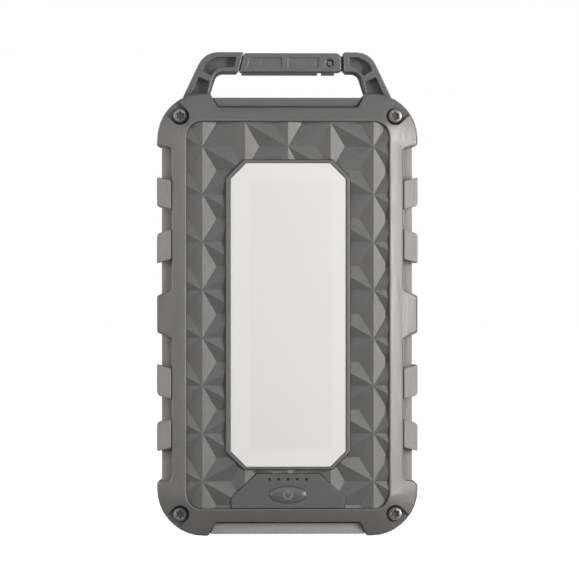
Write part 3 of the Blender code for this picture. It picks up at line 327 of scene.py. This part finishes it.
def make_finishes():
    """A finish for each material slot, by the slot's name."""
    head_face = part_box("screw_1")[0][1] / MM
    return {
        # Each edge level lightens a finish's edges, as wear and as a painted edge highlight.
        "dark_plastic": moulded("dark plastic finish", grey(0.102, 0.012), 0.36, grain=0.04, edge_wear_and_highlight_level=2.1,
                                specular=1.0, streaked=0.5),
        "panel_plastic": moulded("panel plastic finish", grey(0.084, 0.0), 0.3, grain=0.11, edge=0.16,
                                 edge_wear_and_highlight_level=1.6, specular=0.7, streaked=0.12),
        "grip_plastic": moulded("grip plastic finish", grey(0.268, 0.03), 0.6, grain=0.02, edge_wear_and_highlight_level=1.12,
                                specular=0.2, streaked=0.4),
        "pad_plastic": moulded("pad plastic finish", grey(0.085, -0.006), 0.45, grain=0.006, edge=0.2),
        "button_plastic": moulded("button plastic finish", grey(0.085, -0.006), 0.36, grain=0.004, edge=0.5),
        "cover_rubber": soft_rubber("cover rubber finish", grey(0.262, 0.02)),
        "seal_rubber": soft_rubber("seal rubber finish", grey(0.03), 0.7),
        # The screws' sockets are darkened with painted shade.
        "screw_steel": drawn_metal("screw steel finish", grey(0.3, 0.01), 0.5,
                                   recess=head_face + SCREW_SOCKET_SHADE_DEPTH),
        "pin_steel": drawn_metal("pin steel finish", grey(0.2), 0.5),
        "spring_steel": drawn_metal("spring steel finish", grey(0.4), 0.3),
        "port_steel": drawn_metal("port steel finish", grey(0.5), 0.28, stretch=(4.0, 4.0, 0.5)),
        "insert_brass": drawn_metal("insert brass finish", (0.66, 0.47, 0.2), 0.32),
        "lamp_rim": moulded("lamp rim finish", grey(0.13, 0.0), 0.38, grain=0.004, edge=0.25),
        "lamp_diffuser": lamp_cover(),
        "reflector_white": plain_part("reflector white finish", (0.82, 0.82, 0.81), 0.5),
        "board_white": circuit_board("white board finish", (0.7, 0.7, 0.68), (0.78, 0.78, 0.76)),
        "board_green": circuit_board("green board finish", (0.02, 0.10, 0.05), (0.04, 0.17, 0.08)),
        "emitter_yellow": plain_part("emitter yellow finish", (0.8, 0.66, 0.15), 0.35, 0.3),
        "charge_light": plain_part("charge light finish", (0.5, 0.65, 0.8), 0.3, 0.3),
        # The clear light guide is coloured nearly black as painted shade for the small holes it shows
        # through.
        "clear_plastic": plain_part("light guide finish", (0.07, 0.072, 0.075), 0.3, 0.4, 0.004),
        "clear_sheet": clear_window(),
        "silicon": solar_silicon(),
        "ferrite": plain_part("ferrite finish", (0.05, 0.05, 0.05), 0.65, 0.3, 0.02),
        "chip_black": plain_part("chip black finish", (0.02, 0.02, 0.02), 0.5, 0.25, 0.008),
        "can_aluminium": plain_part("can aluminium finish", (0.66, 0.66, 0.67), 0.3, 0.4, 0.004, 1.0),
        "cell_foil": foil_wrap(),
        "pad_foam": plain_part("pad foam finish", (0.045, 0.045, 0.045), 0.85, 0.5, 0.12),
        "lead_red": plain_part("lead red finish", (0.55, 0.03, 0.02), 0.45),
        "lead_black": plain_part("lead black finish", (0.02, 0.02, 0.02), 0.45),
    }


# Shading of the CAD pieces ------------------------------------------------------------------------

def shading_group(sharp_angle):
    """Joins a piece's faces where they meet and shades them smooth, apart from its sharp edges."""
    tree = bpy.data.node_groups.new("joined shading", "GeometryNodeTree")
    for way in ("INPUT", "OUTPUT"):
        tree.interface.new_socket("Geometry", in_out=way, socket_type="NodeSocketGeometry")
    start = tree.nodes.new("NodeGroupInput")
    merge = tree.nodes.new("GeometryNodeMergeByDistance")
    merge.inputs["Distance"].default_value = MERGE_DISTANCE
    faces = tree.nodes.new("GeometryNodeSetShadeSmooth")
    faces.domain = "FACE"
    edges = tree.nodes.new("GeometryNodeSetShadeSmooth")
    edges.domain = "EDGE"
    edges.inputs["Shade Smooth"].default_value = False
    angle = tree.nodes.new("GeometryNodeInputMeshEdgeAngle")
    sharp = tree.nodes.new("FunctionNodeCompare")
    sharp.operation = "GREATER_THAN"
    sharp.inputs["B"].default_value = sharp_angle
    end = tree.nodes.new("NodeGroupOutput")
    tree.links.new(start.outputs[0], merge.inputs["Geometry"])
    tree.links.new(merge.outputs["Geometry"], faces.inputs["Geometry"])
    tree.links.new(faces.outputs["Geometry"], edges.inputs["Geometry"])
    tree.links.new(angle.outputs["Unsigned Angle"], sharp.inputs["A"])
    tree.links.new(sharp.outputs["Result"], edges.inputs["Selection"])
    tree.links.new(edges.outputs["Geometry"], end.inputs[0])
    return tree


def finish_cad():
    """Gives each CAD piece its finish and its shading."""
    finishes = make_finishes()
    smooth = shading_group(SMOOTH_ANGLE)
    faceted = shading_group(FACET_ANGLE)
    for piece in nodes.values():
        slot = piece.material_slots[0].material.name
        piece.material_slots[0].material = finishes[slot].material
        stored = piece.data.attributes.get("custom_normal")
        if stored:
            piece.data.attributes.remove(stored)
        shading = piece.modifiers.new("shading", "NODES")
        shading.node_group = faceted if piece == nodes["front_panel"] else smooth
        flats = piece.modifiers.new("flat faces stay flat", "WEIGHTED_NORMAL")
        flats.keep_sharp = True
        flats.weight = FLATS_WEIGHT
    return finishes


# The mark on the button ---------------------------------------------------------------------------

MARK_RADIUS = 1.42 * MM
MARK_STROKE = 0.4 * MM
MARK_LIFT = 0.012 * MM
MARK_OPENING = math.radians(36)  # half the gap at the ring's top
MARK_BAR = (0.3, 1.25)           # the bar's ends, as parts of the ring's radius
MARK_SHOULDER = 0.8              # where a stroke's flat top ends, as part of its half width
RING_STEPS = 36
BAR_STEPS = 6


def ribbon(shape, path, surface):
    """A thin raised stroke along (x, z) points. surface gives the point for an (x, z) and a lift."""
    section = ((-1.0, -MARK_LIFT), (-MARK_SHOULDER, MARK_LIFT), (MARK_SHOULDER, MARK_LIFT), (1.0, -MARK_LIFT))
    rows = []
    for index, (x, z) in enumerate(path):
        before = path[max(index - 1, 0)]
        after = path[min(index + 1, len(path) - 1)]
        along = Vector((after[0] - before[0], after[1] - before[1])).normalized()
        row = []
        for reach, lift in section:
            offset = reach * MARK_STROKE / 2
            row.append(shape.verts.new(surface(x - along.y * offset, z + along.x * offset, lift)))
        rows.append(row)
    for first, second in zip(rows, rows[1:]):
        for index in range(len(section) - 1):
            shape.faces.new((first[index], second[index], second[index + 1], first[index + 1]))


def make_power_mark(finish):
    """The usual on and off mark, an open ring with a bar, laid on the button's dome."""
    button = nodes["power_button"].data
    dome = BVHTree.FromPolygons([vertex.co for vertex in button.vertices],
                                [tuple(face.vertices) for face in button.polygons])
    low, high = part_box("power_button")
    middle_x = (low[0] + high[0]) / 2
    middle_z = (low[2] + high[2]) / 2

    def on_dome(x, z, lift):
        start = Vector((middle_x + x, low[1] - MM, middle_z + z))
        hit = dome.ray_cast(start, Vector((0.0, 1.0, 0.0)))[0]
        return hit - Vector((0.0, lift, 0.0))

    shape = bmesh.new()
    ring = []
    for step in range(RING_STEPS + 1):
        angle = MARK_OPENING + (2 * math.pi - 2 * MARK_OPENING) * step / RING_STEPS
        ring.append((MARK_RADIUS * math.sin(angle), MARK_RADIUS * math.cos(angle)))
    ribbon(shape, ring, on_dome)
    inner, outer = MARK_BAR
    bar = [(0.0, MARK_RADIUS * (inner + (outer - inner) * step / BAR_STEPS)) for step in range(BAR_STEPS + 1)]
    ribbon(shape, bar, on_dome)
    bmesh.ops.recalc_face_normals(shape, faces=shape.faces)
    mesh = bpy.data.meshes.new("power_mark")
    shape.to_mesh(mesh)
    shape.free()
    mesh.shade_smooth()
    mesh.materials.append(finish.material)
    mark = bpy.data.objects.new("power_mark", mesh)
    bpy.context.scene.collection.objects.link(mark)
    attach(mark, "button")


# Studio -------------------------------------------------------------------------------------------

AIM = Vector((0.00047, cad_box[0][1], 0.0812))
CAMERA_DISTANCE = 1.5
CAMERA_TURN = math.radians(-2.0)
VIEW_WIDTH = 0.1905
SENSOR = 36.0
ROOM_COLOUR = (0.93, 0.965, 1.0, 1.0)
ROOM_STRENGTH = 0.30
FLOOR_GLOW = 0.92  # lifts the floor to white for the camera only
FLOOR_RADIUS = 8.0
WARM = (1.0, 0.965, 0.925)
COOL = (0.97, 0.985, 1.0)


def around(azimuth, elevation, distance):
    """A point round the aim. Azimuth 0 is in front of the lamp side, and positive is to the right."""
    level = math.cos(elevation) * distance
    height = math.sin(elevation) * distance
    return AIM + Vector((math.sin(azimuth) * level, -math.cos(azimuth) * level, height))


def facing(source, target):
    return (target - source).to_track_quat("-Z", "Y").to_euler()


def softbox(name, azimuth, elevation, distance, width, height, radiance, colour):
    """A lamp with a rectangular face towards the aim, with its angles in degrees and its sizes in metres."""
    light = bpy.data.lights.new(name, "AREA")
    light.shape = "RECTANGLE"
    light.size = width
    light.size_y = height
    light.energy = radiance * math.pi * width * height
    light.color = colour
    lamp = bpy.data.objects.new(name, light)
    lamp.location = around(math.radians(azimuth), math.radians(elevation), distance)
    lamp.rotation_euler = facing(lamp.location, AIM)
    bpy.context.scene.collection.objects.link(lamp)


def make_world():
    """Soft light from all round, with plain white behind the object."""
    world = bpy.data.worlds.new("studio")
    bpy.context.scene.world = world
    world.use_nodes = True
    tree = world.node_tree
    room = tree.nodes["Background"]
    room.inputs["Color"].default_value = ROOM_COLOUR
    room.inputs["Strength"].default_value = ROOM_STRENGTH
    white = tree.nodes.new("ShaderNodeBackground")
    white.inputs["Color"].default_value = (1.0, 1.0, 1.0, 1.0)
    rays = tree.nodes.new("ShaderNodeLightPath")
    mix = tree.nodes.new("ShaderNodeMixShader")
    tree.links.new(rays.outputs["Is Camera Ray"], mix.inputs[0])
    tree.links.new(room.outputs[0], mix.inputs[1])
    tree.links.new(white.outputs[0], mix.inputs[2])
    tree.links.new(mix.outputs[0], tree.nodes["World Output"].inputs["Surface"])


def make_floor():
    """A pale floor that looks white, with the faintest shadow under the object."""
    finish = Finish("floor finish", (0.5, 0.5, 0.5), 0.9)
    clouds = finish.noise(finish.place(), 300.0, 2.0)
    finish.set(base_color=finish.blend(clouds, (0.48, 0.48, 0.48, 1.0), (0.52, 0.52, 0.52, 1.0)))
    tree = finish.tree
    glow = tree.nodes.new("ShaderNodeEmission")
    rays = tree.nodes.new("ShaderNodeLightPath")
    finish.put(glow.inputs["Strength"], finish.math("MULTIPLY", rays.outputs["Is Camera Ray"], FLOOR_GLOW))
    both = tree.nodes.new("ShaderNodeAddShader")
    tree.links.new(finish.shader.outputs[0], both.inputs[0])
    tree.links.new(glow.outputs[0], both.inputs[1])
    clear = tree.nodes.new("ShaderNodeBsdfTransparent")
    side = tree.nodes.new("ShaderNodeNewGeometry")
    one_sided = tree.nodes.new("ShaderNodeMixShader")  # so that the floor hides nothing from below
    tree.links.new(side.outputs["Backfacing"], one_sided.inputs[0])
    tree.links.new(both.outputs[0], one_sided.inputs[1])
    tree.links.new(clear.outputs[0], one_sided.inputs[2])
    tree.links.new(one_sided.outputs[0], tree.nodes["Material Output"].inputs["Surface"])
    shape = bmesh.new()
    bmesh.ops.create_circle(shape, cap_ends=True, radius=FLOOR_RADIUS, segments=64)
    mesh = bpy.data.meshes.new("floor")
    shape.to_mesh(mesh)
    shape.free()
    mesh.materials.append(finish.material)
    floor = bpy.data.objects.new("floor", mesh)
    floor.location.z = cad_box[0][2] - 0.1 * MM
    bpy.context.scene.collection.objects.link(floor)


def make_camera():
    data = bpy.data.cameras.new("camera")
    data.sensor_width = SENSOR
    data.lens = SENSOR * CAMERA_DISTANCE / VIEW_WIDTH
    data.clip_start = 0.01
    camera = bpy.data.objects.new("camera", data)
    camera.location = around(CAMERA_TURN, 0.0, CAMERA_DISTANCE)
    camera.rotation_euler = facing(camera.location, AIM)
    bpy.context.scene.collection.objects.link(camera)
    bpy.context.scene.camera = camera


def make_studio():
    softbox("key right", 45.0, 0.0, 0.55, 0.13, 0.5, 19.0, WARM)
    softbox("fill left", -38.0, 0.0, 0.75, 0.14, 0.62, 5.0, WARM)
    softbox("edge right", 76.0, 0.0, 0.75, 0.2, 0.62, 3.0, WARM)
    softbox("edge left", -76.0, 0.0, 0.75, 0.2, 0.62, 4.9, WARM)
    softbox("top", -5.0, 36.0, 0.8, 0.5, 0.16, 2.8, COOL)
    softbox("back right", 140.0, 10.0, 0.9, 0.3, 0.6, 5.0, WARM)
    softbox("back left", -140.0, 10.0, 0.9, 0.3, 0.6, 3.5, WARM)
    make_world()
    make_floor()
    make_camera()
    bpy.context.scene.view_settings.view_transform = "Standard"


finish_cad()
make_power_mark(moulded("mark paint finish", grey(0.18), 0.45, grain=0.002, edge=0.05))
make_studio()
